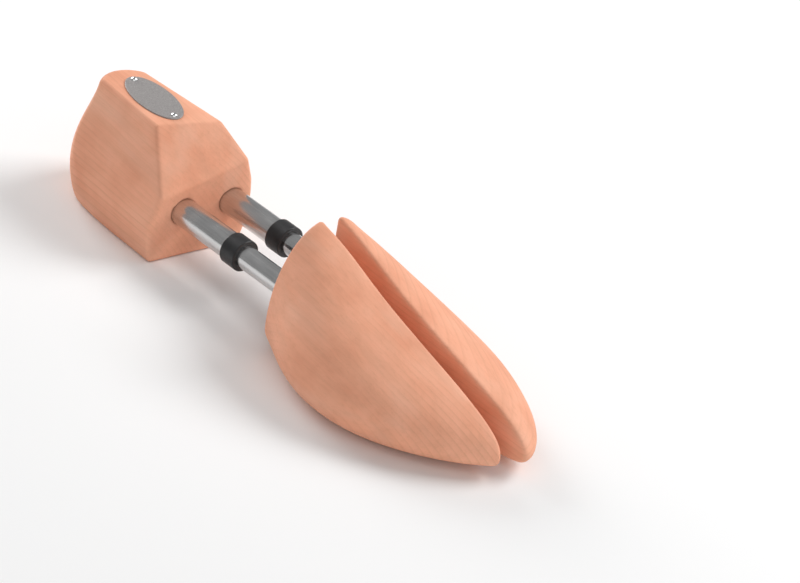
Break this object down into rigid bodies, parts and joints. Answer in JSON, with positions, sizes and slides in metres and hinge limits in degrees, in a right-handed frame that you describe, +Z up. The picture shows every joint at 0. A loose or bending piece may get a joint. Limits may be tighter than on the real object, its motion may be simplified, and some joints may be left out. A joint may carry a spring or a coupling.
{
  "type": "shoe tree",
  "caption": "Right-foot cedar shoe tree: faceted heel block with oval plate, sprung telescoping tubes and a split toe whose halves spread on a cross rod.",
  "frame": {"origin": "middle of the bounding box, at floor level", "axes": "+X from heel to toe, +Y to the medial side, +Z up; the tree stands on heel base and ball at its full free length, toe halves spread to their stops"},
  "size_m": [0.2898, 0.087, 0.0588],
  "materials": {
    "cedar": "bare, fine-sanded",
    "plate": "matte, fine speckle",
    "bright_pin": "bright",
    "tube_steel": "nickel plated",
    "rod_steel": "plain",
    "nylon": "moulded",
    "spring_steel": "drawn wire"
  },
  "bodies": {
    "heel": {"heel_block": "cedar", "heel_plate": "plate", "plate_pins": "bright_pin", "outer_tube_lateral": "tube_steel", "outer_tube_medial": "tube_steel", "end_plug_lateral": "nylon", "end_plug_medial": "nylon", "collar_lateral": "nylon", "collar_medial": "nylon", "stop_rivets": "rod_steel", "tube_brads": "rod_steel", "length_spring_lateral": "spring_steel", "length_spring_medial": "spring_steel"},
    "carriage": {"inner_tube_lateral": "tube_steel", "inner_tube_medial": "tube_steel", "spring_seat_lateral": "nylon", "spring_seat_medial": "nylon", "cross_rod": "rod_steel", "spread_spring": "spring_steel"},
    "toe_lateral": {"toe_half_lateral": "cedar", "rod_bush_lateral": "nylon", "pin_bush": "nylon"},
    "toe_medial": {"toe_half_medial": "cedar", "rod_bush_medial": "nylon", "guide_pin": "rod_steel"}
  },
  "joints": [
    {"name": "length_slide", "type": "slide", "parent": "heel", "child": "carriage", "axis": [-1, 0, 0], "range_m": [0, 0.03], "stiffness_N_per_m": 800, "springref_m": -0.012, "deforming": ["length_spring_lateral", "length_spring_medial"]},
    {"name": "spread_lateral", "type": "slide", "parent": "carriage", "child": "toe_lateral", "axis": [0, 1, 0], "range_m": [0, 0.0035], "stiffness_N_per_m": 1500, "springref_m": -0.005, "deforming": ["spread_spring"]},
    {"name": "spread_medial", "type": "slide", "parent": "carriage", "child": "toe_medial", "axis": [0, -1, 0], "range_m": [0, 0.0035], "stiffness_N_per_m": 1500, "springref_m": -0.005, "deforming": ["spread_spring"]}
  ]
}
